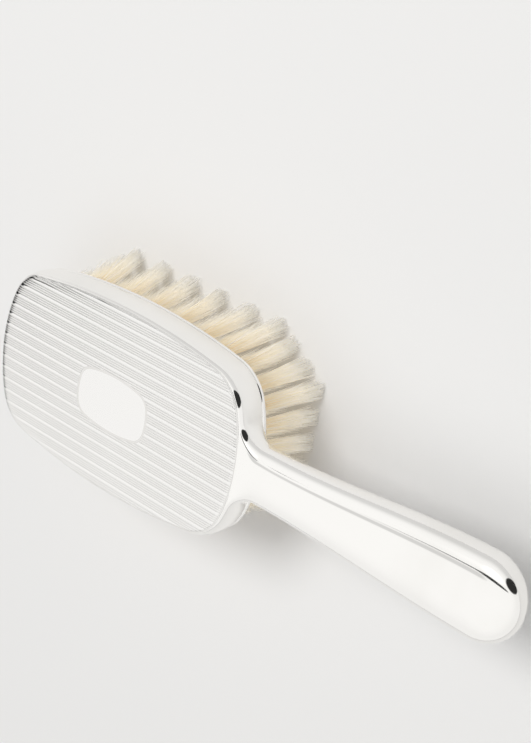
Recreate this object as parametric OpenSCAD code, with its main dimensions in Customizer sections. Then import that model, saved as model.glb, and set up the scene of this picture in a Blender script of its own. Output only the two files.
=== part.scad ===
// Vanity hairbrush: a pressed silver head and handle, filled and stiffened inside,
// round a wooden stock that carries staggered rows of natural bristle tufts.
// It rests on its bristle tips with the back up. +X runs from the toe to the handle's end,
// +Y across the head, +Z out of the back. The origin is the bottom centre of the whole brush.

/* [Whole brush] */
// Length from the toe to the end of the handle
brush_l = 240; // [232:1:250]
// Height from the bristle tips to the flat back
brush_h = 43; // [41:0.5:46]

/* [Head] */
// Length of the head
head_l = 128; // [124:1:132]
// Width of the head
head_w = 75; // [72:0.5:78]
// Radius of the long, gently bulging sides
side_r = 257; // [220:1:320]
// Radius of the bulging toe and heel
end_r = 62; // [56:1:70]
// Radius of the four corners
corner_r = 18.6; // [16:0.1:20]
// Depth of the side wall, from the flat back to the front rim
wall_depth = 14; // [13:0.5:15]
// Width of the rolled edge, seen from above
roll_w = 2.6; // [2:0.1:3.2]
// Height of the rolled edge, seen from the side
roll_h = 7; // [5:0.5:8]
// How far the wall pulls in again at the front rim
tuck = 1.4; // [0.8:0.1:1.8]
// Thickness of the silver sheet
sheet = 0.9; // [0.7:0.1:1.1]
// Width of the flat ring round the opening for the stock
rim_w = 3; // [2.4:0.1:3.6]

/* [Handle] */
// Width of the neck where the handle meets the head's socket
neck_w = 21.4; // [20:0.2:23]
// Radius of the hollow curves from the head into the neck
neck_fillet = 9; // [7:0.5:11]
// Length of the neck socket beyond the heel
neck_l = 11; // [10:0.5:12]
// Greatest width of the handle, near its round end
handle_w = 31; // [28:0.5:33]
// Thickness of the handle at the neck
neck_t = 12.6; // [12:0.2:13.2]
// Thickness of the handle near its end
handle_t = 15.4; // [14:0.2:16]
// How far the handle's middle plane drops from the neck to the end
handle_drop = 2.2; // [1.5:0.1:3]
// Squareness of the handle's section, from 2 for an oval upward
section_power = 2.5; // [2.2:0.1:2.8]
// Diameter of the steel rod inside the handle
rod_d = 4; // [3:0.5:5]

/* [Bristles] */
// Distance between neighbouring rows along the head
row_pitch = 6.6; // [6.4:0.1:6.8]
// Distance between neighbouring tufts in one row
tuft_pitch = 8; // [7.8:0.1:8.2]
// Tufts in a full even row
row_tufts = 8; // [8:2:8]
// Diameter of the hole for each tuft
hole_d = 3.6; // [3.2:0.1:3.8]
// Depth of the hole for each tuft
hole_depth = 6.5; // [6:0.5:7]
// Diameter of a tuft at its tip
tip_d = 7.8; // [6:0.2:8]
// Lean of the tufts nearest the toe and the heel, in degrees
lean_ends = 14; // [11:0.5:14]
// Lean of the tufts nearest the sides, in degrees
lean_sides = 18; // [14:0.5:19]
// Thickness of the wooden stock
stock_t = 10.2; // [9.8:0.2:10.6]

/* [Hidden] */

hole_fn = 32;        // fineness of holes and tufts
clear = 0.05;        // clearance between fitted pieces
over = 1;            // overshoot of a cut beyond the surface
roll_steps = 5;      // facets across the rolled edge

head_x = head_l / 2 - brush_l / 2;      // centre of the head
heel = head_l / 2;                      // heel, measured from the head's centre
neck_end = heel + neck_l;               // end of the neck socket, from the head's centre
tip_x = brush_l / 2;                    // end of the handle
back_z = brush_h;                       // flat back
rim_z = brush_h - wall_depth;           // front rim
neck_top = back_z - 0.4;                // top of the neck socket
neck_z = neck_top - neck_t / 2;         // middle plane of the neck
face_z = rim_z - 0.6;                   // front face of the stock
stock_top = face_z + stock_t;           // back face of the stock

// Centres and angles of the arcs of the head's outline, the same for every inset
side_y = head_w / 2 - side_r;
end_x = head_l / 2 - end_r;
side_span = side_r - corner_r;
end_span = end_r - corner_r;
centre_gap = norm([end_x, side_y]);
along = (side_span ^ 2 - end_span ^ 2 + centre_gap ^ 2) / (2 * centre_gap);
across = sqrt(side_span ^ 2 - along ^ 2);
toward = [end_x, -side_y] / centre_gap;
corner = [0, side_y] + along * toward + across * [toward[1], -toward[0]];
side_a = atan2(corner[1] - side_y, corner[0]);
end_a = atan2(corner[1], corner[0] - end_x);

// Each arc of the outline: centre, radius, first angle, last angle, points
ARCS = [
    [[end_x, 0], end_r, -end_a, end_a, 8],
    [corner, corner_r, end_a, side_a, 8],
    [[0, side_y], side_r, side_a, 180 - side_a, 8],
    [[-corner[0], corner[1]], corner_r, 180 - side_a, 180 - end_a, 8],
    [[-end_x, 0], end_r, 180 - end_a, 180 + end_a, 8],
    [-corner, corner_r, 180 + end_a, 180 + side_a, 8],
    [[0, -side_y], side_r, 180 + side_a, 360 - side_a, 8],
    [[corner[0], -corner[1]], corner_r, 360 - side_a, 360 - end_a, 8]
];

function turned(a) = [cos(a), sin(a)];

// Points round the head's outline, drawn inward by an inset
function outline(inset) = [
    for (arc = ARCS, k = [0 : arc[4] - 1])
        arc[0] + (arc[1] - inset) * turned(arc[2] + (arc[3] - arc[2]) * k / arc[4])
];

// A flat plate of the head's outline between two heights
module plate(inset, low, high) {
    translate([head_x, 0, low]) linear_extrude(high - low) polygon(outline(inset));
}

// Section of the pressed head as [inset, height] pairs, from the flat back over the rolled
// edge and down the wall to the rim, and back up inside the sheet
function roll(depth, k) = [
    roll_w - (roll_w - depth) * sin(90 * k / roll_steps),
    back_z - depth - (roll_h - depth) * (1 - cos(90 * k / roll_steps))
];
HEAD_SECTION = concat(
    [for (k = [0 : roll_steps]) roll(0, k)],
    [[tuck, rim_z], [tuck + sheet, rim_z]],
    [for (k = [roll_steps : -1 : 0]) roll(sheet, k)]
);

// The pressed head: its section carried round the outline, closed by the flat back
module pressed_head() {
    around = len(outline(0));
    last = len(HEAD_SECTION) - 1;
    translate([head_x, 0, 0]) polyhedron(
        points = [for (s = HEAD_SECTION) each [for (p = outline(s[0])) [p[0], p[1], s[1]]]],
        faces = concat(
            [[for (k = [around - 1 : -1 : 0]) k]],
            [for (s = [0 : last - 1], k = [0 : around - 1]) let (n = (k + 1) % around)
                [s * around + k, s * around + n, (s + 1) * around + n, (s + 1) * around + k]],
            [[for (k = [0 : around - 1]) last * around + k]]
        )
    );
}

// Plan of the neck socket with its hollow curves, drawn inward by an inset
module neck_plan(inset) {
    half = neck_w / 2 - inset;
    curve_y = neck_w / 2 + neck_fillet;
    curve_x = end_x + sqrt((end_r + neck_fillet) ^ 2 - curve_y ^ 2);
    difference() {
        polygon([
            [heel - 8, -curve_y], [curve_x, -curve_y], [curve_x, -half],
            [neck_end, -half], [neck_end, half],
            [curve_x, half], [curve_x, curve_y], [heel - 8, curve_y]
        ]);
        for (s = [-1, 1]) {
            translate([curve_x, s * curve_y]) circle(r = neck_fillet + inset, $fn = 96);
        }
    }
}

// The neck's plan as a solid between two heights, stopping at the head's outline
module neck(inset, reach, low, high) {
    translate([head_x, 0, low]) linear_extrude(high - low) difference() {
        neck_plan(inset);
        polygon(outline(reach));
    }
}

module head_shell() {
    color("silver") difference() {
        union() {
            pressed_head();
            neck(0, roll_w + 0.4, neck_top - neck_t, neck_top);
        }
        neck(sheet, roll_w + 4 * over, neck_top - neck_t + sheet, neck_top - sheet);
        translate([head_x + neck_end, -neck_w, rim_z]) cube([over, 2 * neck_w, wall_depth]);
    }
}

// Flat ring soldered inside the wall, round the opening for the stock
module front_rim() {
    color("silver") difference() {
        plate(tuck + sheet + clear, rim_z, rim_z + sheet);
        plate(tuck + rim_w, rim_z - over, rim_z + sheet + over);
    }
}

// Handle: half width, half thickness and middle plane along X, with a rounded end
cap_x = tip_x - handle_w / 2;
neck_x = head_x + neck_end;

function ease(u) = u * u * (3 - 2 * u);
function along_handle(x) = min(1, (x - neck_x) / (cap_x - neck_x));
function end_round(x, inset) = x < cap_x ? 1 : sqrt(1 - ((x - cap_x) / (tip_x - inset - cap_x)) ^ 2);
function half_w(x, inset) =
    (neck_w / 2 + (handle_w - neck_w) / 2 * ease(along_handle(x)) - inset) * end_round(x, inset);
function half_t(x, inset) =
    (neck_t / 2 + (handle_t - neck_t) / 2 * ease(along_handle(x)) - inset) * end_round(x, inset);
function middle_z(x) = neck_z - handle_drop * ease(along_handle(x));
function power_of(v) = sign(v) * pow(abs(v), 2 / section_power);

// One ring of points across the handle
function ring(x, inset, points) = [
    for (k = [0 : points - 1]) let (a = 360 * k / points) [
        x,
        half_w(x, inset) * power_of(cos(a)),
        middle_z(x) + half_t(x, inset) * power_of(sin(a))
    ]
];

// The handle as one closed loft, drawn inward by an inset
module handle_form(inset, start) {
    points = 28;
    straight = 9;
    round = 8;
    stations = concat(
        [for (k = [0 : straight - 1]) start + (cap_x - start) * k / straight],
        [for (k = [0 : round - 1]) cap_x + (tip_x - inset - cap_x) * sin(88 * k / (round - 1))]
    );
    last = len(stations) - 1;
    polyhedron(
        points = [for (x = stations) each ring(x, inset, points)],
        faces = concat(
            [[for (k = [0 : points - 1]) k]],
            [for (s = [0 : last - 1], k = [0 : points - 1]) let (n = (k + 1) % points)
                [s * points + k, (s + 1) * points + k, (s + 1) * points + n]],
            [for (s = [0 : last - 1], k = [0 : points - 1]) let (n = (k + 1) % points)
                [s * points + k, (s + 1) * points + n, s * points + n]],
            [[for (k = [points - 1 : -1 : 0]) last * points + k]]
        )
    );
}

// Half of the handle's shell, above or below its seam
module handle_half(side) {
    seam_z = neck_z - handle_drop / 2;
    reach = handle_t;
    difference() {
        handle_form(0, neck_x);
        handle_form(sheet, neck_x - over);
        translate([neck_x - over, -handle_w, side > 0 ? seam_z - 2 * reach : seam_z])
            cube([tip_x - neck_x + 2 * over, 2 * handle_w, 2 * reach]);
    }
}

module handle_back_shell() {
    color("silver") handle_half(1);
}

module handle_front_shell() {
    color("silver") handle_half(-1);
}

// Steel rod through the neck and the handle
module rod(play = 0) {
    rod_z = neck_z - handle_drop / 3;
    translate([head_x + heel - 2, 0, rod_z]) rotate([0, 90, 0])
        cylinder(d = rod_d + 2 * play, h = cap_x - head_x - heel - 8 + play, $fn = hole_fn);
}

module handle_rod() {
    color("slategray") rod();
}

// Hard filling cast into the handle round the rod
module handle_resin() {
    color("saddlebrown") difference() {
        handle_form(sheet + clear, neck_x + clear);
        rod(clear);
    }
}

// How much thinner the cement is in the neck than the socket's square corners
neck_slack = 2.8;

// Cement that beds the stock in the head and runs into the neck socket
module head_cement() {
    color("dimgray") difference() {
        union() {
            plate(roll_w + sheet + 0.2, rim_z + sheet + clear, back_z - sheet - clear);
            neck(sheet + neck_slack, roll_w + sheet + 1.2,
                neck_top - neck_t + sheet + neck_slack / 2,
                neck_top - sheet - neck_slack / 2);
        }
        plate(tuck + rim_w + clear, rim_z, stock_top + clear);
        rod(clear);
    }
}

// Rows and tufts: even rows hold a tuft either side of the middle, odd rows one on it
rows = 17;
middle_row = (rows - 1) / 2;
field_l = 54;
field_w = 29.5;
field_r = 20;
root_d = hole_d - 0.2;
anchor_size = [hole_d - 0.4, 0.4, 1.6];

function row_x(row) = (row - middle_row) * row_pitch;
function row_start(row) = (row - middle_row) % 2 == 0 ? -(row_tufts - 2) / 2 : -(row_tufts - 1) / 2;
function in_field(x, y) =
    norm([max(0, abs(x) - field_l + field_r), max(0, abs(y) - field_w + field_r)]) <= field_r;
function row_places(row) = [
    for (k = [row_start(row) : 1 : -row_start(row)])
        if (in_field(row_x(row), k * tuft_pitch)) [row_x(row), k * tuft_pitch]
];
function slope(place) = [
    tan(lean_ends * place[0] / field_l),
    tan(lean_sides * place[1] / field_w)
];
function tilt(place) = atan(norm(slope(place)));
function heading(place) = atan2(slope(place)[1], slope(place)[0]);

// Puts its children at a tuft's root on the stock's face, +Z along the tuft
module at_root(place) {
    translate([head_x + place[0], place[1], face_z])
        rotate([0, 0, heading(place)]) rotate([0, 180 - tilt(place), 0]) children();
}

module anchor(play = 0) {
    translate([0, 0, 1.4 - hole_depth]) cube(anchor_size + play * [1, 1, 1], center = true);
}

// One tuft: a round root in its hole and a brush that spreads to the floor
module tuft(place) {
    lean = tilt(place);
    reach = (face_z - tip_d / 2 * sin(lean)) / cos(lean);
    at_root(place) difference() {
        union() {
            translate([0, 0, 0.2 - hole_depth]) cylinder(d = root_d, h = hole_depth, $fn = hole_fn);
            cylinder(d1 = root_d, d2 = tip_d, h = reach, $fn = hole_fn);
        }
        anchor(0.8);
    }
}

module bristle_row(row) {
    color("wheat") for (place = row_places(row)) {
        tuft(place);
    }
}

// Flat wire anchors that hold the folded tufts down in their holes
module tuft_anchors() {
    color("gold") for (row = [0 : rows - 1], place = row_places(row)) {
        at_root(place) anchor();
    }
}

// Wooden stock with one blind hole for each tuft
module bristle_stock() {
    color("burlywood") difference() {
        plate(tuck + rim_w + 0.1, face_z, stock_top);
        for (row = [0 : rows - 1], place = row_places(row)) {
            at_root(place) translate([0, 0, -hole_depth])
                cylinder(d = hole_d, h = hole_depth + 2 * over, $fn = hole_fn);
        }
    }
}

head_shell();
front_rim();
handle_back_shell();
handle_front_shell();
head_cement();
handle_resin();
handle_rod();
bristle_stock();
tuft_anchors();
bristle_row(0);  // bristle_row_01
bristle_row(1);  // bristle_row_02
bristle_row(2);  // bristle_row_03
bristle_row(3);  // bristle_row_04
bristle_row(4);  // bristle_row_05
bristle_row(5);  // bristle_row_06
bristle_row(6);  // bristle_row_07
bristle_row(7);  // bristle_row_08
bristle_row(8);  // bristle_row_09
bristle_row(9);  // bristle_row_10
bristle_row(10);  // bristle_row_11
bristle_row(11);  // bristle_row_12
bristle_row(12);  // bristle_row_13
bristle_row(13);  // bristle_row_14
bristle_row(14);  // bristle_row_15
bristle_row(15);  // bristle_row_16
bristle_row(16);  // bristle_row_17
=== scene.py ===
"""Looks of a silver-backed vanity hairbrush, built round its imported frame.

Plan sizes are in millimetres, measured from the middle of the head along the
brush, and become metres in the row frame when a piece is made.
"""
import logging
import math
from dataclasses import dataclass, field
from enum import Enum
from typing import Iterable, Sequence

import bmesh
import bpy
import numpy as np
from mathutils import Matrix, Vector


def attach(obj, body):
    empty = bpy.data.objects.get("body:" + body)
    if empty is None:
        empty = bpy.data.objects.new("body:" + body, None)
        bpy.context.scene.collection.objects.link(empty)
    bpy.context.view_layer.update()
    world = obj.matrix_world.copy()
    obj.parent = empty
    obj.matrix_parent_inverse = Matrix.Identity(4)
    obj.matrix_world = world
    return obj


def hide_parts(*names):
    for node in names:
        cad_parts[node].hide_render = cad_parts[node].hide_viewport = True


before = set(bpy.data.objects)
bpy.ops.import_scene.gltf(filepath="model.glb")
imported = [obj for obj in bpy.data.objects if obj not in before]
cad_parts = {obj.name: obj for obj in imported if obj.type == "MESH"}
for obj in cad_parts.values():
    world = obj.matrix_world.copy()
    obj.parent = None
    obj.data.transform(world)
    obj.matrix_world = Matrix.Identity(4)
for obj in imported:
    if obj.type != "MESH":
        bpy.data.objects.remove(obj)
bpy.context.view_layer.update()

LOG = logging.getLogger("hairbrush")
MM = 0.001
HEAD_X = -56.0  # the middle of the head, in the row frame
TAU = 2 * math.pi
Number = "float | Value"


class Slot(Enum):
    """The record's material slots, silver and bristle."""

    SILVER = "silver"
    BRISTLE = "bristle"


# ---------------------------------------------------------------- plan shapes


@dataclass(frozen=True)
class ArcOutline:
    """A soft oblong of eight arcs, tangent to each other, round the origin."""

    half_length: float
    half_width: float
    side_r: float
    end_r: float
    corner_r: float

    @property
    def end_x(self) -> float:
        """Distance of the end arcs' centres from the middle."""
        return self.half_length - self.end_r

    @property
    def side_y(self) -> float:
        """Distance of the side arcs' centres beyond the middle."""
        return self.side_r - self.half_width

    @property
    def corner(self) -> tuple[float, float]:
        """Centre of the corner arc in the first quadrant."""
        far, near = self.side_r - self.corner_r, self.end_r - self.corner_r
        gap = math.hypot(self.end_x, self.side_y)
        along = (far**2 - near**2 + gap**2) / (2 * gap)
        across = math.sqrt(far**2 - along**2)
        ux, uy = self.end_x / gap, self.side_y / gap
        return along * ux + across * uy, along * uy - across * ux - self.side_y

    @property
    def end_angle(self) -> float:
        """Angle at which the end arc meets the corner arc, in degrees."""
        cx, cy = self.corner
        return math.degrees(math.atan2(cy, cx - self.end_x))

    @property
    def side_angle(self) -> float:
        """Angle at which the corner arc meets the side arc, in degrees."""
        cx, cy = self.corner
        return math.degrees(math.atan2(cy + self.side_y, cx))

    def reach(self, y: float, inset: float) -> float:
        """Half length of the outline at one ordinate.

        Args:
            y: ordinate, in millimetres.
            inset: how far inside the outline the curve runs.

        Returns:
            The distance from the middle line to the curve along the brush.
        """
        y = abs(y)
        cx, cy = self.corner
        small, end, side = self.corner_r - inset, self.end_r - inset, self.side_r - inset
        if y <= end * math.sin(math.radians(self.end_angle)):
            return self.end_x + math.sqrt(end**2 - y**2)
        if y <= cy + small * math.sin(math.radians(self.side_angle)):
            return cx + math.sqrt(max(0.0, small**2 - (y - cy) ** 2))
        return math.sqrt(max(0.0, side**2 - (y + self.side_y) ** 2))

    def depth(self, x: float, y: float) -> tuple[float, float]:
        """How deep a plan point lies inside the outline.

        Args:
            x: place along the brush, in millimetres.
            y: place across it.

        Returns:
            The inset, and the place along the brush of the nearest edge.
        """
        ax, ay = abs(x), abs(y)
        centre, radius = self.corner, self.corner_r
        if math.degrees(math.atan2(ay, ax - self.end_x)) <= self.end_angle:
            centre, radius = (self.end_x, 0.0), self.end_r
        elif math.degrees(math.atan2(ay + self.side_y, ax)) >= self.side_angle:
            centre, radius = (0.0, -self.side_y), self.side_r
        gap = math.hypot(ax - centre[0], ay - centre[1])
        foot = centre[0] + radius * (ax - centre[0]) / max(gap, 1e-6)
        return radius - gap, math.copysign(foot, x)

    def quadrant(self, counts: Sequence[int]) -> tuple[np.ndarray, np.ndarray]:
        """Points and inward normals from the end's middle to the side's middle.

        Args:
            counts: steps along the end, corner and side arcs.

        Returns:
            Two arrays of plan points and of unit normals that point inward.
        """
        angles = (0.0, self.end_angle, self.side_angle, 90.0)
        centres = ((self.end_x, 0.0), self.corner, (0.0, -self.side_y))
        radii = (self.end_r, self.corner_r, self.side_r)
        points, normals = [], []
        for low, high, centre, radius, count in zip(angles, angles[1:], centres, radii, counts):
            for angle in np.radians(np.linspace(low, high, count, endpoint=high == 90.0)):
                ray = np.array((math.cos(angle), math.sin(angle)))
                points.append(np.array(centre) + radius * ray)
                normals.append(-ray)
        return np.array(points), np.array(normals)

    def loop(self, counts: Sequence[int]) -> tuple[np.ndarray, np.ndarray]:
        """The whole outline, anticlockwise, its first point repeated at the end."""
        point, normal = self.quadrant(counts)
        rings = []
        for part in (point, normal):
            left = part[::-1] * (-1, 1)
            top = np.concatenate([part, left[1:]])
            bottom = top[::-1] * (1, -1)
            rings.append(np.concatenate([top, bottom[1:]]))
        return rings[0], rings[1]


HEAD_PLAN = ArcOutline(64.0, 37.5, 257.0, 62.0, 18.6)


def smooth_step(value: float | np.ndarray, low: float = 0.0, high: float = 1.0):
    """Runs smoothly from 0 at low to 1 at high."""
    u = np.clip((value - low) / (high - low), 0.0, 1.0)
    return u * u * (3 - 2 * u)


# ------------------------------------------------------------- shader sockets


class Value:
    """A number on a shader socket, whose operators add Math nodes."""

    def __init__(self, graph: "Graph", socket: bpy.types.NodeSocket) -> None:
        self.graph = graph
        self.socket = socket

    def _math(self, operation: str, *terms: "Number") -> "Value":
        """Adds one Math node and returns its result."""
        node = self.graph.node("ShaderNodeMath", {"operation": operation}, dict(enumerate(terms)))
        return Value(self.graph, node.outputs[0])

    def __add__(self, other: "Number") -> "Value":
        """Sum of two values."""
        return self._math("ADD", self, other)

    __radd__ = __add__

    def __sub__(self, other: "Number") -> "Value":
        """Difference of two values."""
        return self._math("SUBTRACT", self, other)

    def __rsub__(self, other: "Number") -> "Value":
        """Difference of two values, this one taken away."""
        return self._math("SUBTRACT", other, self)

    def __mul__(self, other: "Number") -> "Value":
        """Product of two values."""
        return self._math("MULTIPLY", self, other)

    __rmul__ = __mul__

    def __truediv__(self, other: "Number") -> "Value":
        """Quotient of two values."""
        return self._math("DIVIDE", self, other)

    def __pow__(self, other: "Number") -> "Value":
        """This value raised to a power."""
        return self._math("POWER", self, other)

    def step(self, low: float, high: float) -> "Value":
        """Runs smoothly from 0 at low to 1 at high."""
        node = self.graph.node(
            "ShaderNodeMapRange",
            {"interpolation_type": "SMOOTHSTEP"},
            {0: self, 1: low, 2: high, 3: 0.0, 4: 1.0},
        )
        return Value(self.graph, node.outputs[0])


class Graph:
    """A node tree that is being wired, with one method for every node."""

    def __init__(self, tree: bpy.types.NodeTree) -> None:
        self.tree = tree
        tree.nodes.clear()

    def node(self, kind: str, settings: dict | None = None, inputs: dict | None = None):
        """Adds a node.

        Args:
            kind: the node's type name.
            settings: properties, set first; "stops" fills a colour ramp.
            inputs: values or links, by socket name or number.

        Returns:
            The new node.
        """
        made = self.tree.nodes.new(kind)
        for key, value in (settings or {}).items():
            if key == "stops":
                ramp = made.color_ramp.elements
                while len(ramp) < len(value):
                    ramp.new(1.0)
                for element, (place, colour) in zip(ramp, value):
                    element.position, element.color = place, (*colour, 1.0)
            else:
                setattr(made, key, value)
        for key, value in (inputs or {}).items():
            if isinstance(value, Value):
                value = value.socket
            if isinstance(value, bpy.types.NodeSocket):
                self.tree.links.new(value, made.inputs[key])
            else:
                made.inputs[key].default_value = value
        return made

    def place(self) -> bpy.types.NodeSocket:
        """The surface point in Object coordinates."""
        return self.node("ShaderNodeTexCoord").outputs["Object"]

    def axes(self, vector: bpy.types.NodeSocket) -> tuple[Value, Value, Value]:
        """The three parts of a vector."""
        parts = self.node("ShaderNodeSeparateXYZ", None, {0: vector}).outputs
        return Value(self, parts[0]), Value(self, parts[1]), Value(self, parts[2])

    def scaled(self, vector: bpy.types.NodeSocket, scale: Sequence[float]):
        """A point with each axis multiplied, to stretch a pattern."""
        return self.node("ShaderNodeMapping", None, {"Vector": vector, "Scale": scale}).outputs[0]

    def noise(self, vector: bpy.types.NodeSocket, scale: float, detail: float = 2.0) -> Value:
        """Cloudy noise from 0 to 1."""
        made = self.node(
            "ShaderNodeTexNoise", None, {"Vector": vector, "Scale": scale, "Detail": detail}
        )
        return Value(self, made.outputs["Fac"])

    def mixed(self, factor: "Number", first: object, second: object) -> bpy.types.NodeSocket:
        """One colour running to another."""
        made = self.node(
            "ShaderNodeMix", {"data_type": "RGBA"}, {0: factor, 6: first, 7: second}
        )
        return made.outputs[2]

    def dot(self, vector: bpy.types.NodeSocket, axis: Vector) -> Value:
        """How far a vector points along an axis."""
        made = self.node(
            "ShaderNodeVectorMath", {"operation": "DOT_PRODUCT"}, {0: vector, 1: tuple(axis)}
        )
        return Value(self, made.outputs["Value"])

    def attribute(self, name: str) -> Value:
        """A number stored on the mesh's points."""
        made = self.node("ShaderNodeAttribute", {"attribute_name": name})
        return Value(self, made.outputs["Fac"])

    def bump(self, height: Value, distance: float, strength: float = 1.0):
        """Surface relief from a height."""
        made = self.node(
            "ShaderNodeBump", None, {"Height": height, "Distance": distance, "Strength": strength}
        )
        return made.outputs[0]


def new_material(name: str) -> tuple[bpy.types.Material, Graph]:
    """An empty material and its graph."""
    material = bpy.data.materials.new(name)
    material.use_nodes = True
    return material, Graph(material.node_tree)


def surface(graph: Graph, inputs: dict) -> None:
    """Ends a material with one Principled shader."""
    shader = graph.node("ShaderNodeBsdfPrincipled", None, inputs)
    graph.node("ShaderNodeOutputMaterial", None, {"Surface": shader.outputs[0]})


def rgb(red: float, green: float, blue: float) -> tuple[float, float, float, float]:
    """A colour socket's value."""
    return red, green, blue, 1.0


@dataclass(frozen=True)
class PolishedSilver:
    """Bright silver, hand polished, with faint haze and hairline wear."""

    name: str = "polished_silver"
    colour: tuple[float, float, float] = (0.955, 0.945, 0.925)
    haze: tuple[float, float, float] = (0.925, 0.915, 0.89)
    roughness: float = 0.055

    def build(self) -> bpy.types.Material:
        """Makes the material."""
        material, g = new_material(self.name)
        place = g.place()
        cloud = g.noise(place, 38.0, 3.0)
        hair = g.noise(g.scaled(place, (60.0, 900.0, 500.0)), 1.0, 1.0)
        worn = cloud.step(0.42, 0.72)
        surface(
            g,
            {
                "Base Color": g.mixed(worn, rgb(*self.colour), rgb(*self.haze)),
                "Metallic": 1.0,
                "Roughness": self.roughness + worn * 0.02 + hair.step(0.6, 0.8) * 0.015,
                "Normal": g.bump(hair, 0.0000008, 0.6),
            },
        )
        return material


@dataclass(frozen=True)
class EngravedSilver:
    """Engine-turned silver: bright lands, with grey in the cuts that is partly tarnish and partly
    painted shade and dark reflection of the groove walls.
    """

    name: str = "engraved_silver"
    land: tuple[float, float, float] = (0.915, 0.908, 0.895)
    # grey of the cuts: partly tarnish, partly painted shade and dark reflection in the grooves
    cut: tuple[float, float, float] = (0.76, 0.747, 0.722)
    roughness: float = 0.13

    def build(self) -> bpy.types.Material:
        """Makes the material."""
        material, g = new_material(self.name)
        place = g.place()
        cloud = g.noise(place, 55.0, 3.0)
        # the cut mark paints the cuts grey: partly tarnish, partly painted shade and reflection
        depth = g.attribute("cut") * (0.75 + cloud * 0.5)
        drawn = g.noise(g.scaled(place, (120.0, 2600.0, 600.0)), 1.0, 1.0)
        surface(
            g,
            {
                "Base Color": g.mixed(depth, rgb(*self.land), rgb(*self.cut)),
                "Metallic": 1.0,
                "Roughness": self.roughness + depth * 0.18 + cloud * 0.04,
                "Normal": g.bump(drawn, 0.000002, 0.5),
            },
        )
        return material


@dataclass(frozen=True)
class BlondBristle:
    """Natural bristle: honey where it leaves the wood, pale at the tip, with a painted glow of
    the same colour standing in for light through the strands.
    """

    name: str = "blond_bristle"
    root: tuple[float, float, float] = (0.85, 0.70, 0.46)
    shaft: tuple[float, float, float] = (0.90, 0.83, 0.69)
    tip: tuple[float, float, float] = (0.97, 0.94, 0.87)

    def build(self) -> bpy.types.Material:
        """Makes the material."""
        material, g = new_material(self.name)
        place = g.place()
        height = g.axes(place)[2] / 0.0284
        tone = g.attribute("tone")
        along = 1.0 - height + (tone - 0.5) * 0.35
        ramp = g.node(
            "ShaderNodeValToRGB",
            {"stops": ((0.0, self.root), (0.45, self.shaft), (0.95, self.tip))},
            {0: along},
        )
        pale = g.mixed(tone.step(0.55, 1.0) * 0.55, ramp.outputs[0], rgb(0.98, 0.95, 0.87))
        streak = g.noise(g.scaled(place, (1.0, 1.0, 0.15)), 2600.0, 2.0)
        surface(
            g,
            {
                "Base Color": g.mixed(streak.step(0.5, 0.9) * 0.3, pale, rgb(0.93, 0.74, 0.46)),
                "Roughness": 0.38 + streak * 0.2,
                "Specular IOR Level": 0.5,
                # painted glow: the bristle colour is also emitted, painted light that brightens
                # the strands though they are no lamp
                "Emission Color": pale,
                "Emission Strength": 0.22,
                "Normal": g.bump(streak, 0.00002, 0.4),
            },
        )
        return material


@dataclass(frozen=True)
class VarnishedWood:
    """Pale close-grained wood under a thin varnish."""

    name: str = "varnished_wood"
    light: tuple[float, float, float] = (0.62, 0.42, 0.24)
    dark: tuple[float, float, float] = (0.40, 0.24, 0.12)

    def build(self) -> bpy.types.Material:
        """Makes the material."""
        material, g = new_material(self.name)
        place = g.place()
        wide = g.noise(g.scaled(place, (6.0, 90.0, 60.0)), 1.0, 4.0)
        pore = g.noise(g.scaled(place, (90.0, 2200.0, 1200.0)), 1.0, 2.0).step(0.62, 0.78)
        grain = wide * 3.0
        rings = g.node("ShaderNodeMath", {"operation": "PINGPONG"}, {0: grain, 1: 0.5})
        bands = Value(g, rings.outputs[0]) * 2.0
        wood = g.mixed(bands.step(0.1, 0.9), rgb(*self.light), rgb(*self.dark))
        surface(
            g,
            {
                "Base Color": g.mixed(pore * 0.6, wood, rgb(0.22, 0.12, 0.06)),
                "Roughness": 0.34 + pore * 0.25,
                "Coat Weight": 0.35,
                "Coat Roughness": 0.15,
                "Normal": g.bump(pore * -1.0, 0.00006, 0.6),
            },
        )
        return material


@dataclass(frozen=True)
class CastFill:
    """A cast or drawn filling that is mottled all through."""

    name: str
    light: tuple[float, float, float]
    dark: tuple[float, float, float]
    metallic: float = 0.0
    roughness: float = 0.5
    grain: Sequence[float] = (400.0, 400.0, 400.0)

    def build(self) -> bpy.types.Material:
        """Makes the material."""
        material, g = new_material(self.name)
        place = g.scaled(g.place(), self.grain)
        mottle = g.noise(place, 1.0, 4.0)
        surface(
            g,
            {
                "Base Color": g.mixed(mottle.step(0.35, 0.7), rgb(*self.light), rgb(*self.dark)),
                "Metallic": self.metallic,
                "Roughness": self.roughness + mottle * 0.2,
                "Normal": g.bump(mottle, 0.00008, 0.5),
            },
        )
        return material


@dataclass(frozen=True)
class PaleSweep:
    """The plain pale floor of the studio."""

    name: str = "pale_sweep"
    colour: tuple[float, float, float] = (0.735, 0.73, 0.72)

    def build(self) -> bpy.types.Material:
        """Makes the material."""
        material, g = new_material(self.name)
        tooth = g.noise(g.place(), 260.0, 2.0)
        surface(
            g,
            {
                "Base Color": rgb(*self.colour),
                "Roughness": 0.9,
                "Specular IOR Level": 0.1,
                "Normal": g.bump(tooth, 0.00002, 0.3),
            },
        )
        return material


# ------------------------------------------------------------------- meshing


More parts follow.
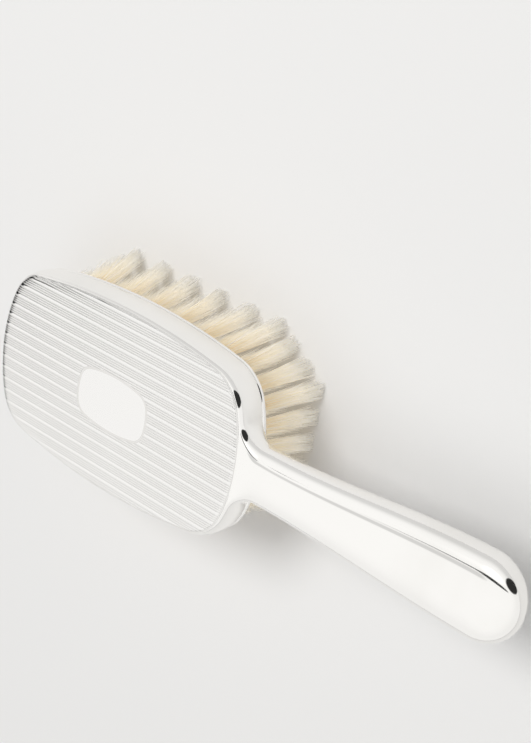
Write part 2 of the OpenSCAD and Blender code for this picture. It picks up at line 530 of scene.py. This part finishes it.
def grid_mesh(points: np.ndarray, marks: np.ndarray | None = None) -> bmesh.types.BMesh:
    """A sheet of quads laid over a table of points.

    Args:
        points: places in metres, rows by columns by three.
        marks: a number for each point, stored as the attribute "cut".

    Returns:
        The sheet; neighbouring points that coincide are not merged yet.
    """
    rows, columns = points.shape[:2]
    bm = bmesh.new()
    bmesh.ops.create_grid(bm, x_segments=rows - 1, y_segments=columns - 1, size=1.0)
    layer = None if marks is None else bm.verts.layers.float.new("cut")
    for vert in bm.verts:
        i = round((vert.co.x + 1) / 2 * (rows - 1))
        j = round((vert.co.y + 1) / 2 * (columns - 1))
        vert.co = Vector(points[i, j])
        if layer:
            vert[layer] = float(marks[i, j])
    return bm


def close_seams(bm: bmesh.types.BMesh, distance: float = 1e-7) -> None:
    """Merges points that meet at seams and poles, and turns faces outward."""
    bmesh.ops.remove_doubles(bm, verts=bm.verts, dist=distance)
    bmesh.ops.dissolve_degenerate(bm, edges=bm.edges, dist=distance)
    bmesh.ops.recalc_face_normals(bm, faces=bm.faces)


def mirror_halves(bm: bmesh.types.BMesh) -> None:
    """Adds the other half of a sheet across the brush's middle plane."""
    geometry = list(bm.verts) + list(bm.edges) + list(bm.faces)
    copy = bmesh.ops.duplicate(bm, geom=geometry)["geom"]
    verts = [item for item in copy if isinstance(item, bmesh.types.BMVert)]
    faces = [item for item in copy if isinstance(item, bmesh.types.BMFace)]
    bmesh.ops.scale(bm, vec=(1.0, -1.0, 1.0), verts=verts)
    bmesh.ops.reverse_faces(bm, faces=faces)


def row_frame(plan: np.ndarray) -> np.ndarray:
    """Millimetres from the middle of the head, as metres in the row frame."""
    return (np.asarray(plan) + (HEAD_X, 0.0, 0.0)) * MM


def finish_piece(
    name: str,
    bm: bmesh.types.BMesh,
    material: bpy.types.Material,
    stands_for: Iterable[str] = (),
) -> bpy.types.Object:
    """Turns a mesh in the row frame into a piece that rides on the brush.

    Args:
        name: the piece's name.
        bm: its mesh, freed here.
        material: its finish.
        stands_for: CAD nodes that the piece replaces.

    Returns:
        The piece.
    """
    mesh = bpy.data.meshes.new(name)
    bm.to_mesh(mesh)
    bm.free()
    mesh.polygons.foreach_set("use_smooth", [True] * len(mesh.polygons))
    piece = bpy.data.objects.new(name, mesh)
    bpy.context.scene.collection.objects.link(piece)
    mesh.materials.append(material)
    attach(piece, "root")
    if stands_for:
        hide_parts(*stands_for)
    LOG.info("%s: %d faces", name, len(mesh.polygons))
    return piece


def add_wall(piece: bpy.types.Object, thickness: float) -> None:
    """Gives a skin its wall, inward from the modelled face."""
    wall = piece.modifiers.new("wall", "SOLIDIFY")
    wall.thickness = thickness * MM
    wall.offset = -1.0


# ------------------------------------------------------------ the silver skin


@dataclass
class SilverBody:
    """Pressed head, neck and hollow handle, polished into one skin."""

    back_z: float = 42.86
    wide_z: float = 36.0
    foot_z: float = 31.3
    rim_z: float = 29.0
    roll_w: float = 2.6
    bevel_w: float = 5.0
    bevel_h: float = 1.875
    tuck: float = 1.4
    sheet: float = 0.9
    opening_inset: float = 3.6
    neck_half: float = 10.7
    neck_fillet: float = 9.0
    neck_x: float = 75.0
    cap_x: float = 160.5
    handle_half: float = 15.5
    neck_t: float = 6.3
    handle_t: float = 7.7
    neck_z: float = 36.3
    handle_drop: float = 2.2
    power: float = 2.5
    top_angle: float = 38.0
    foot_angle: float = 140.0
    columns: tuple[int, int, int, int] = (14, 18, 12, 14)
    quarter_steps: tuple[int, int, int] = (11, 22, 20)
    fillet_steps: int = 24
    handle_steps: int = 56
    cap_steps: int = 27
    bevel_steps: int = 7
    shortest_run: float = 8.0
    blend_margin: int = 4
    toe_spine: float = -44.0
    heel_spine: float = 58.0

    def handle_section(self, x: float) -> tuple[float, float, float]:
        """Half width, half thickness and middle height of the handle at x."""
        ease = float(smooth_step(x, self.neck_x, self.cap_x))
        half_w = self.neck_half + (self.handle_half - self.neck_half) * ease
        half_t = self.neck_t + (self.handle_t - self.neck_t) * ease
        along = max(0.0, (x - self.cap_x) / self.handle_half)
        shrink = math.sqrt(max(0.0, 1 - along**2))
        return half_w * shrink, half_t * shrink, self.neck_z - self.handle_drop * ease

    def stations(self) -> list[dict]:
        """Places round half the outline, from the toe to the handle's tip.

        Returns:
            For each station its plan point, inward normal, handle section,
            top spine and lower target, as numbers in millimetres.
        """
        plan = HEAD_PLAN
        point, normal = plan.quadrant(self.quarter_steps)
        toe = list(zip(point * (-1, 1), normal * (-1, 1)))
        heel = list(zip(point, normal))[::-1]
        run = plan.end_r + self.neck_fillet
        centre_y = self.neck_half + self.neck_fillet
        centre = np.array((plan.end_x + math.sqrt(run**2 - centre_y**2), centre_y))
        turn = math.degrees(math.atan2(centre_y, centre[0] - plan.end_x))
        heel = [pair for pair in heel if math.degrees(
            math.atan2(pair[0][1], pair[0][0] - plan.end_x)) > turn + 0.2]
        out = []
        ends = sum(self.quarter_steps[:2])
        side = np.linspace(self.toe_spine, 0.0, self.quarter_steps[2] + 1)[1:]
        spine = [*[self.toe_spine] * ends, *side]
        rest = heel[1:]
        spine += [*np.linspace(0, self.heel_spine, len(rest) + 1)[1:]]
        for (p, n), x in zip([*toe, *rest], spine):
            out.append({"p": p, "n": n, "spine": x})
        fillet_spine = np.linspace(self.heel_spine + 0.8, centre[0], self.fillet_steps)
        for angle, x in zip(
            np.radians(np.linspace(180 + turn, 270, self.fillet_steps)), fillet_spine
        ):
            ray = np.array((math.cos(angle), math.sin(angle)))
            out.append({"p": centre + self.neck_fillet * ray, "n": ray, "spine": x})
        count = len(out)
        for x in np.linspace(centre[0], self.cap_x, self.handle_steps)[1:]:
            out.append({"p": np.array((x, self.handle_section(x)[0])), "spine": x})
        for angle in np.radians(np.linspace(90, 0, self.cap_steps)[1:]):
            x = self.cap_x + self.handle_half * math.cos(angle)
            out.append({"p": np.array((x, self.handle_section(x)[0])), "spine": x})
        self._aim(out, centre[0], turn, count)
        return out

    def _aim(self, out: list[dict], neck_start: float, turn: float, count: int) -> None:
        """Adds blends, sections and lower targets to the stations."""
        plan = HEAD_PLAN
        ring = plan.end_r - self.opening_inset
        low_x = plan.end_x + ring
        fillet, margin = self.fillet_steps, self.blend_margin
        for index, place in enumerate(out):
            place.setdefault("n", np.array((0.0, -1.0)))
            x = max(place["p"][0], neck_start)
            place["section"] = self.handle_section(x)
            share = (index - (count - fillet - margin)) / (fillet + 2 * margin)
            place["blend"] = float(smooth_step(share))
            step = (index - (count - fillet)) / (fillet - 1)
            if step < 0:
                flat = place["p"] + place["n"] * self.opening_inset
                place["low"] = (flat[0], flat[1], self.foot_z)
            elif step < 0.5:
                angle = math.radians(turn * (1 - step / 0.5))
                place["low"] = (
                    plan.end_x + ring * math.cos(angle), ring * math.sin(angle), self.foot_z)
            else:
                go = min(1.0, (step - 0.5) / 0.5)
                end = place["spine"] if step >= 1 else low_x + (neck_start - low_x) * go
                half_t, middle = place["section"][1:]
                z = self.foot_z + (middle - half_t - self.foot_z) * float(smooth_step(go))
                place["low"] = (end, 0.0, z)

    def _loaf(self, place: dict, angle: float) -> tuple[float, float]:
        """Inset and height on the handle's section, from its crown at 0 degrees."""
        half_w, half_t, middle = place["section"]
        s, c = math.sin(math.radians(angle)), math.cos(math.radians(angle))
        bend = 2 / self.power
        side = half_w * (1 - max(0.0, s) ** bend)
        return side, middle + half_t * math.copysign(abs(c) ** bend, c)

    def bevel(self, x: float, inset: float) -> float:
        """How far the back has fallen at an inset, next to the edge at x."""
        share = max(0.0, 1 - inset / self.bevel_w)
        return self.bevel_h * share**2 * float(smooth_step(-x, 0.0, 60.0))

    def back_height(self, x: float, y: float) -> float:
        """Height of the head's back at one plan place."""
        inset, foot = HEAD_PLAN.depth(x, y)
        share = min(1.0, max(0.0, 1 - inset / self.roll_w))
        fall = (self.back_z - self.wide_z) * (1 - math.sqrt(1 - share**2))
        return self.back_z - fall - self.bevel(foot, inset) * (1 - share)

    def _wall(self, z: float) -> float:
        """Inset of the head's side wall at a height under its widest line."""
        return self.tuck * ((self.wide_z - z) / (self.wide_z - self.rim_z)) ** 2

    def profile(self, place: dict) -> np.ndarray:
        """All points of the skin at one station, from the top spine down."""
        b = place["blend"]
        p, n = place["p"], place["n"]
        half_w, half_t, middle = place["section"]
        crown = (1 - b) * self.back_z + b * (middle + half_t)
        many_a, many_b, many_c, many_d = self.columns
        roll_h = self.back_z - self.wide_z

        def joined(inset: float, z: float) -> np.ndarray:
            """The point at an inset and height."""
            return np.array((*(p + n * inset), z))

        def mixed(inset: float, z: float, angle: float) -> tuple[float, float]:
            """Inset and height, blended with the handle's section at an angle."""
            side, high = self._loaf(place, angle)
            return (1 - b) * inset + b * side, (1 - b) * z + b * high

        points = []
        flat_end = self.back_z - self.bevel(p[0], self.roll_w)
        edge = mixed(self.roll_w, flat_end, self.top_angle)
        start, end = np.array((place["spine"], 0.0, crown)), joined(*edge)
        loaf_end = self._loaf(place, self.top_angle)
        run = max(self.shortest_run, float(np.hypot(*(end - start)[:2])))
        bevel_start = 1 - (self.bevel_w - self.roll_w) / run
        shares = [*np.linspace(0, bevel_start, many_a - self.bevel_steps, endpoint=False),
                  *np.linspace(bevel_start, 1, self.bevel_steps, endpoint=False)]
        for q in shares:
            side, high = self._loaf(place, self.top_angle * q)
            swell = np.array((
                *(n * (side - (half_w + (loaf_end[0] - half_w) * q))),
                high - (middle + half_t + (loaf_end[1] - middle - half_t) * q)))
            point = start + (end - start) * q + b * swell
            if b == 0:
                point[2] = self.back_height(point[0], point[1])
            points.append(point)
        for q in np.linspace(0, 1, many_b, endpoint=False):
            t = math.radians(90 * q)
            inset = self.roll_w * (1 - math.sin(t))
            z = self.back_z - roll_h * (1 - math.cos(t))
            z -= self.bevel(p[0], inset) * (inset / self.roll_w)
            points.append(joined(*mixed(inset, z, self.top_angle + (90 - self.top_angle) * q)))
        for q in np.linspace(0, 1, many_c, endpoint=False):
            z = self.wide_z + (self.foot_z - self.wide_z) * q
            points.append(joined(*mixed(self._wall(z), z, 90 + (self.foot_angle - 90) * q)))
        foot = mixed(self._wall(self.foot_z), self.foot_z, self.foot_angle)
        start, end = joined(*foot), np.array(place["low"])
        loaf_end = self._loaf(place, self.foot_angle)
        for q in np.linspace(0, 1, many_d):
            side, high = self._loaf(place, self.foot_angle + (180 - self.foot_angle) * q)
            swell = np.array((
                *(n * (side - (loaf_end[0] + (half_w - loaf_end[0]) * q))),
                high - (loaf_end[1] + (middle - half_t - loaf_end[1]) * q)))
            points.append(start + (end - start) * q + b * swell)
        return np.array(points)

    def build(self, silver: bpy.types.Material) -> bpy.types.Object:
        """Models the skin and gives it its wall."""
        points = np.array([self.profile(place) for place in self.stations()])
        bm = grid_mesh(row_frame(points))
        mirror_halves(bm)
        close_seams(bm)
        piece = finish_piece(
            "silver_body", bm, silver,
            ("head_shell", "handle_back_shell", "handle_front_shell"))
        add_wall(piece, self.sheet)
        return piece


@dataclass
class RimBand:
    """Rounded band that closes the front of the head round the wood."""

    outer: float = 0.30
    inner: float = 4.35
    low_z: float = 29.0
    high_z: float = 32.1

    def section(self) -> list[tuple[float, float]]:
        """Inset and height round the band's cross-section, closed."""
        r = (self.high_z - self.low_z) / 2
        middle = self.low_z + r
        bead = [
            (self.outer + r * 1.25 * (1 - math.cos(a)), middle + r * math.sin(a))
            for a in np.radians(np.linspace(90, -90, 15))]
        lip = [(self.inner - 0.25, self.low_z), (self.inner, self.low_z + 0.25),
               (self.inner, self.high_z - 0.2), (self.inner - 0.2, self.high_z)]
        return [*bead, *lip, bead[0]]

    def build(self, silver: bpy.types.Material) -> bpy.types.Object:
        """Carries the cross-section round the head."""
        point, normal = HEAD_PLAN.loop((8, 20, 26))
        rows = [
            [(*(p + n * inset), z) for inset, z in self.section()]
            for p, n in zip(point, normal)]
        bm = grid_mesh(row_frame(np.array(rows)))
        close_seams(bm)
        return finish_piece("rim_band", bm, silver, ("front_rim",))


# --------------------------------------------------------- the engraved back


@dataclass
class EngravedBack:
    """Engine-turned lines along the back, their border and the cartouche."""

    body: SilverBody
    group_pitch: float = 4.4
    group_y: float = 0.95
    cut_pitch: float = 0.87
    cuts: int = 4
    cut_w: float = 0.46
    cut_depth: float = 0.09
    lift: float = 0.12
    border: float = 2.35
    toe_border: float = 0.75
    wall: float = 0.12
    toe_run: float = 6.5
    toe_steps: int = 18
    field_steps: int = 72
    cartouche: ArcOutline = field(
        default_factory=lambda: ArcOutline(18.43, 11.42, 58.5, 23.65, 6.8))
    cartouche_x: float = 0.25
    cartouche_y: float = -1.37

    def ordinates(self) -> list[tuple[float, float]]:
        """Ordinates across the back with how deep the cut is at each, 0 to 1."""
        edge = HEAD_PLAN.half_width - self.border - 0.02
        lines = [(-edge, 0.0), (edge, 0.0)]
        groups = math.ceil(edge / self.group_pitch)
        first = -(self.cuts - 1) / 2 * self.cut_pitch
        for group in range(-groups, groups + 1):
            for cut in range(self.cuts):
                middle = group * self.group_pitch + self.group_y + first + cut * self.cut_pitch
                if abs(middle) + self.cut_w / 2 < edge:
                    for share, depth in ((-0.5, 0.0), (-0.2, 1.0), (0.2, 1.0), (0.5, 0.0)):
                        lines.append((middle + share * self.cut_w, depth))
        return sorted(lines)

    def edge_inset(self, y: float, toe: bool) -> float:
        """Inset of the engraved field's edge: at the toe it runs onto the roll."""
        near = float(smooth_step(abs(y), 26.0, HEAD_PLAN.half_width - self.border))
        return self.toe_border + (self.border - self.toe_border) * near if toe else self.border

    def panel(self) -> bmesh.types.BMesh:
        """Sheet of cut lines, marked with the depth of the cut at each point."""
        table, marks = [], []
        for y, depth in self.ordinates():
            end = HEAD_PLAN.reach(y, self.border)
            start = -HEAD_PLAN.reach(y, self.edge_inset(y, True))
            turn = min(start + self.toe_run, end)
            places = [*np.linspace(start, turn, self.toe_steps, endpoint=False),
                      *np.linspace(turn, end, self.field_steps)]
            table.append([
                (x, y, self.body.back_height(x, y) + self.lift - depth * self.cut_depth)
                for x in map(float, places)])
            # the depth mark is painted grey by the material: partly tarnish, partly painted shade
            # in the cuts
            marks.append([depth] * len(places))
        return grid_mesh(row_frame(np.array(table)), np.array(marks))

    def build(self, engraved: bpy.types.Material) -> None:
        """Models the engraved sheet, its border line and the plain cartouche."""
        bm = self.panel()
        close_seams(bm, 1e-8)
        if sum(face.normal.z for face in bm.faces) < 0:
            bmesh.ops.reverse_faces(bm, faces=bm.faces)
        piece = finish_piece("engraved_panel", bm, engraved)
        add_wall(piece, self.wall)
        self._border(engraved)
        self._cartouche(engraved)

    def _border(self, engraved: bpy.types.Material) -> None:
        """Cuts the fine line that runs round the engraved field.

        The section lists offset from the field's edge, height over the lands
        and depth mark.
        """
        # the depth mark paints the line's groove grey: partly tarnish, partly painted shade
        section = ((-0.50, -0.15, 0.0), (-0.44, -0.01, 0.0), (-0.34, -0.01, 0.0),
                   (-0.28, -0.05, 1.0), (-0.06, -0.05, 1.0), (0.02, 0.004, 0.0),
                   (0.10, -0.06, 0.0), (0.10, -0.15, 0.0), (-0.50, -0.15, 0.0))
        point, normal = HEAD_PLAN.loop((8, 24, 26))
        rows, marks = [], []
        for p, n in zip(point, normal):
            inset = self.edge_inset(p[1], p[0] < 0)
            row = []
            for offset, height, _ in section:
                x, y = p + n * (inset + offset)
                row.append((x, y, self.body.back_height(x, y) + self.lift + height))
            rows.append(row)
            marks.append([mark for _, _, mark in section])
        bm = grid_mesh(row_frame(np.array(rows)), np.array(marks))
        close_seams(bm)
        finish_piece("border_line", bm, engraved)

    def _cartouche(self, engraved: bpy.types.Material) -> None:
        """Plain shield with a duller line round it."""
        top = self.body.back_z + self.lift
        foot, crown = -0.14, 0.010
        # the 0.6 marks paint a band just inside the edge in the cuts' grey: partly tarnish,
        # partly painted shade
        section = ((0.0, foot, 0.0), (0.01, 0.002, 0.6), (0.05, 0.003, 0.6), (0.95, 0.003, 0.6),
                   (1.05, 0.008, 0.0), (1.8, crown, 0.0))
        point, normal = self.cartouche.loop((14, 14, 16))
        rows = [
            [(*(p + n * inset + (self.cartouche_x, self.cartouche_y)), top + high)
             for inset, high, _ in section]
            for p, n in zip(point, normal)]
        marks = [[mark for _, _, mark in section]] * len(rows)
        bm = grid_mesh(row_frame(np.array(rows)), np.array(marks))
        bmesh.ops.remove_doubles(bm, verts=bm.verts, dist=1e-7)
        for z in (top + foot, top + crown):
            rim = [e for e in bm.edges if e.is_boundary and all(
                abs(v.co.z / MM - z) < 0.002 for v in e.verts)]
            bmesh.ops.contextual_create(bm, geom=rim)
        bmesh.ops.recalc_face_normals(bm, faces=bm.faces)
        finish_piece("cartouche", bm, engraved)


# ----------------------------------------------------------------- bristles


@dataclass
class BristleField:
    """Staggered rows of bristle tufts, each strand modelled."""

    pitch_x: float = 6.6
    pitch_y: float = 8.0
    face_z: float = 28.4
    root_r: float = 1.45
    tip_r: float = 4.1
    lean_ends: float = 14.0
    lean_sides: float = 18.0
    field_x: float = 54.0
    field_y: float = 29.5
    corner: float = 20.0
    strands: int = 130
    thickness: float = 0.15
    sunk: float = 1.5
    ragged: float = 1.7
    short_share: float = 0.12
    bunch: float = 0.93
    flare: float = 1.25
    heel_limit: float = 61.5
    rows: int = 17
    reach: int = 5
    seed: int = 11

    def tufts(self, row: int) -> list[tuple[float, float]]:
        """Roots of one row's tufts."""
        place = row - self.rows // 2
        x = place * self.pitch_x
        start = 0.0 if place % 2 == 0 else self.pitch_y / 2
        out = []
        for step in range(-self.reach, self.reach + 1):
            y = step * self.pitch_y + start
            dx = max(0.0, abs(x) - self.field_x + self.corner)
            dy = max(0.0, abs(y) - self.field_y + self.corner)
            if math.hypot(dx, dy) <= self.corner:
                out.append((x, y))
        return out

    def strand_template(self, rings: int = 4) -> bpy.types.Mesh:
        """One strand along +Z from 0 to 1: a thin three-sided taper."""
        bm = bmesh.new()
        bmesh.ops.create_cone(
            bm, cap_ends=True, segments=3, radius1=1.0, radius2=0.45, depth=1.0,
            matrix=Matrix.Translation((0, 0, 0.5)))
        for cut in range(1, rings):
            bmesh.ops.bisect_plane(
                bm, geom=bm.verts[:] + bm.edges[:] + bm.faces[:],
                plane_co=(0, 0, cut / rings), plane_no=(0, 0, 1))
        mesh = bpy.data.meshes.new("strand")
        bm.to_mesh(mesh)
        bm.free()
        return mesh

    def _strands(self, rng: np.random.Generator, tuft: tuple[float, float], local: np.ndarray):
        """Places every strand of one tuft.

        Args:
            rng: the seeded source of variation.
            tuft: the root's plan place.
            local: the template's points.

        Returns:
            Points in millimetres, strands by template points by three, and a
            tone for each strand.
        """
        count = self.strands
        x0, y0 = tuft
        slope = np.array((
            math.tan(math.radians(self.lean_ends * x0 / self.field_x)),
            math.tan(math.radians(self.lean_sides * y0 / self.field_y))))
        angle = rng.uniform(0, TAU, count)
        radius = np.sqrt(rng.uniform(0, 1, count))
        ray = np.stack([np.cos(angle), np.sin(angle)], 1) * radius[:, None]
        wander = rng.normal(0, 0.32, (count, 2))
        shift = rng.normal(0, 0.5, 2)
        root = np.array(tuft) + ray * self.root_r
        drop = self.face_z + self.sunk
        length = self.face_z - np.abs(rng.normal(0, 1, count)) * self.ragged - 0.1
        length -= (rng.uniform(0, 1, count) < self.short_share) * rng.uniform(2, 9, count)
        tip = (
            np.array(tuft) + slope * self.face_z + ray * self.tip_r * self.bunch
            + wander * 1.5 + shift * 0.6)
        tip = np.clip(tip, (-63.6, -38.6), (62.5, 39.8))
        inward = 0.45 * np.minimum(0.0, tip[:, 1] + self.pitch_y)
        tip[:, 0] = np.minimum(tip[:, 0], self.heel_limit + inward)
        tone = rng.uniform(0, 1, count)
        bend = rng.normal(0, 0.5, (count, 2))
        turn = rng.uniform(0, TAU, count)
        t = local[:, 2]
        flare = t**self.flare
        hump = (4 * t * (1 - t))
        plan = (
            root[:, None, :] + (tip - root)[:, None, :] * flare[None, :, None]
            + bend[:, None, :] * hump[None, :, None] * 0.5)
        ca, sa = np.cos(turn)[:, None], np.sin(turn)[:, None]
        thick = self.thickness * rng.uniform(0.75, 1.2, count)[:, None]
        plan[..., 0] += (local[None, :, 0] * ca - local[None, :, 1] * sa) * thick
        plan[..., 1] += (local[None, :, 0] * sa + local[None, :, 1] * ca) * thick
        z = drop - (drop - (self.face_z - length))[:, None] * t[None, :]
        return np.concatenate([plan, z[..., None]], 2), tone

    def build(self, bristle: bpy.types.Material) -> None:
        """Models every row as its own piece."""
        template = self.strand_template()
        local = np.array([v.co[:] for v in template.vertices])
        whole = bmesh.new()
        for _ in range(self.strands):
            whole.from_mesh(template)
        tuft_mesh = bpy.data.meshes.new("tuft")
        whole.to_mesh(tuft_mesh)
        whole.free()
        rng = np.random.default_rng(self.seed)
        for row in range(self.rows):
            bm = bmesh.new()
            places, tones = [], []
            for tuft in self.tufts(row):
                bm.from_mesh(tuft_mesh)
                points, tone = self._strands(rng, tuft, local)
                places.append(points.reshape(-1, 3))
                tones.append(np.repeat(tone, len(local)))
            name = f"bristles_{row + 1:02d}"
            layer = bm.verts.layers.float.new("tone")
            coordinates = row_frame(np.concatenate(places))
            for vert, co, tone in zip(bm.verts, coordinates, np.concatenate(tones)):
                vert.co = co
                vert[layer] = tone
            bmesh.ops.reverse_faces(bm, faces=bm.faces)
            finish_piece(
                name, bm, bristle, (f"bristle_row_{row + 1:02d}",))
        bpy.data.meshes.remove(tuft_mesh)
        bpy.data.meshes.remove(template)


# ------------------------------------------------------------------ studio


@dataclass(frozen=True)
class Flag:
    """A dark or bright card far off, seen only in the polish."""

    towards: tuple[float, float, float]
    along: tuple[float, float, float]
    half_length: float
    half_width: float
    level: float
    soft: float = 0.15
    power: float = 2.0


@dataclass
class Studio:
    """Floor, soft light and camera."""

    flags: tuple[Flag, ...] = ()
    floor_half: float = 6.0
    lamp_place: tuple[float, float, float] = (-0.25, 0.85, 1.75)
    lamp_size: float = 1.0
    lamp_power: float = 18.6
    camera_place: tuple[float, float, float] = (0.31365, 0.23684, 0.42552)
    camera_angles: tuple[float, float, float] = (123.19, 46.66, -104.97)
    sensor: float = 36.0
    focal_share: float = 1600 / 743

    def floor(self, finish: bpy.types.Material) -> None:
        """Lays the plain pale floor."""
        bm = bmesh.new()
        bmesh.ops.create_grid(bm, x_segments=2, y_segments=2, size=self.floor_half)
        mesh = bpy.data.meshes.new("floor")
        bm.to_mesh(mesh)
        bm.free()
        ground = bpy.data.objects.new("floor", mesh)
        bpy.context.scene.collection.objects.link(ground)
        mesh.materials.append(finish)

    def sky(self) -> None:
        """Wraps the brush in pale light with a few dark and bright cards.

        Diffuse rays see none of that: only a grey sky, brighter overhead.
        """
        world = bpy.data.worlds.new("studio")
        bpy.context.scene.world = world
        world.use_nodes = True
        g = Graph(world.node_tree)
        ray = g.node("ShaderNodeTexCoord").outputs["Generated"]
        _, side, height = g.axes(ray)
        low = 0.92 - side.step(0.40, 0.85) * 0.22
        level = low + height.step(0.30, 0.75) * (1.0 - low)
        for flag in self.flags:
            towards = Vector(flag.towards).normalized()
            along = Vector(flag.along)
            along = (along - along.dot(towards) * towards).normalized()
            across = towards.cross(along)
            length = (g.dot(ray, along) / flag.half_length) ** flag.power
            width = (g.dot(ray, across) / flag.half_width) ** flag.power
            inside = 1.0 - (length + width).step(1 - flag.soft, 1 + flag.soft)
            mask = inside * g.dot(ray, towards).step(0.0, 0.05)
            level = level + mask * (flag.level - level)
        colour = g.node("ShaderNodeCombineColor", None,
                        {0: level, 1: level * 0.995, 2: level * 0.985})
        seen = g.node("ShaderNodeBackground", None, {"Color": colour.outputs[0]})
        overhead = 0.20 + height.step(0.50, 0.97) * 1.12
        shed = g.node("ShaderNodeBackground", None, {"Color": overhead})
        kind = g.node("ShaderNodeLightPath").outputs["Is Diffuse Ray"]
        both = g.node("ShaderNodeMixShader", None,
                      {0: kind, 1: seen.outputs[0], 2: shed.outputs[0]})
        g.node("ShaderNodeOutputWorld", None, {"Surface": both.outputs[0]})

    def lamp(self) -> None:
        """Hangs one broad soft light."""
        data = bpy.data.lights.new("soft_light", "AREA")
        data.shape = "DISK"
        data.size = self.lamp_size
        data.energy = self.lamp_power
        lamp = bpy.data.objects.new("soft_light", data)
        bpy.context.scene.collection.objects.link(lamp)
        lamp.location = self.lamp_place
        lamp.visible_glossy = False
        lamp.rotation_euler = (-Vector(lamp.location)).to_track_quat("-Z", "Y").to_euler()

    def camera(self) -> None:
        """Sets the camera at the viewing angle."""
        data = bpy.data.cameras.new("camera")
        data.sensor_fit = "VERTICAL"
        data.sensor_width = data.sensor_height = self.sensor
        data.lens = self.focal_share * self.sensor
        data.clip_start, data.clip_end = 0.01, 50.0
        camera = bpy.data.objects.new("camera", data)
        bpy.context.scene.collection.objects.link(camera)
        azimuth, elevation, roll = (math.radians(angle) for angle in self.camera_angles)
        back = Vector((
            math.sin(azimuth) * math.cos(elevation),
            -math.cos(azimuth) * math.cos(elevation), math.sin(elevation)))
        right = Vector((0, 0, 1)).cross(back).normalized()
        up = back.cross(right)
        turned = math.cos(roll) * right + math.sin(roll) * up
        upward = -math.sin(roll) * right + math.cos(roll) * up
        pose = Matrix((turned, upward, back)).transposed().to_4x4()
        pose.translation = self.camera_place
        camera.matrix_world = pose
        bpy.context.scene.camera = camera

    def build(self) -> None:
        """Sets the whole studio up."""
        self.floor(PaleSweep().build())
        self.sky()
        self.lamp()
        self.camera()
        bpy.context.scene.view_settings.view_transform = "Standard"


FLAGS: tuple[Flag, ...] = (
    Flag((-0.42, 0.02, 0.90), (1.0, 0.0, 0.45), 0.24, 0.07, 0.70, 0.9),
    Flag((0.02, 0.42, 0.90), (1.0, 0.0, 0.0), 0.40, 0.20, 1.20, 0.8),
    Flag((0.76, 0.50, 0.40), (0.0, 0.0, 1.0), 0.44, 0.30, 0.03),
    Flag((0.07, 0.16, 0.98), (1.0, 0.0, 0.0), 0.535, 0.055, 0.03),
    Flag((-0.575, 0.21, 0.79), (1.0, 0.0, 0.7), 0.045, 0.018, 0.05),
    Flag((-0.79, 0.04, 0.59), (0.49, 0.60, 0.64), 0.31, 0.12, 0.02),
    Flag((-0.97, -0.03, 0.21), (0.1, -1.0, 0.0), 0.35, 0.23, 0.01, 0.15, 8.0),
)


def dress_frame() -> None:
    """Gives the carried-over solids their own finishes."""
    fills = {
        "bristle_stock": VarnishedWood(),
        "tuft_anchors": CastFill(
            "anchor_brass", (0.80, 0.58, 0.24), (0.52, 0.34, 0.12), 1.0, 0.3),
        "head_cement": CastFill(
            "bedding_cement", (0.42, 0.33, 0.24), (0.24, 0.18, 0.13), 0.0, 0.75),
        "handle_resin": CastFill(
            "filling_resin", (0.20, 0.13, 0.08), (0.09, 0.05, 0.03), 0.0, 0.35),
        "handle_rod": CastFill(
            "drawn_steel", (0.55, 0.55, 0.56), (0.32, 0.32, 0.33), 1.0, 0.3,
            (60.0, 2000.0, 2000.0)),
    }
    for name, finish in fills.items():
        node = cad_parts[name]
        node.data.materials.clear()
        node.data.materials.append(finish.build())
        LOG.info("%s: dressed as %s", name, finish.name)


def main() -> None:
    """Builds the brush and its studio."""
    logging.basicConfig(level=logging.INFO, format="%(name)s %(message)s")
    silver, engraved = PolishedSilver().build(), EngravedSilver().build()
    Studio(flags=FLAGS).build()
    body = SilverBody()
    body.build(silver)
    RimBand().build(silver)
    EngravedBack(body).build(engraved)
    BristleField().build(BlondBristle().build())
    dress_frame()


if __name__ == "__main__":
    main()
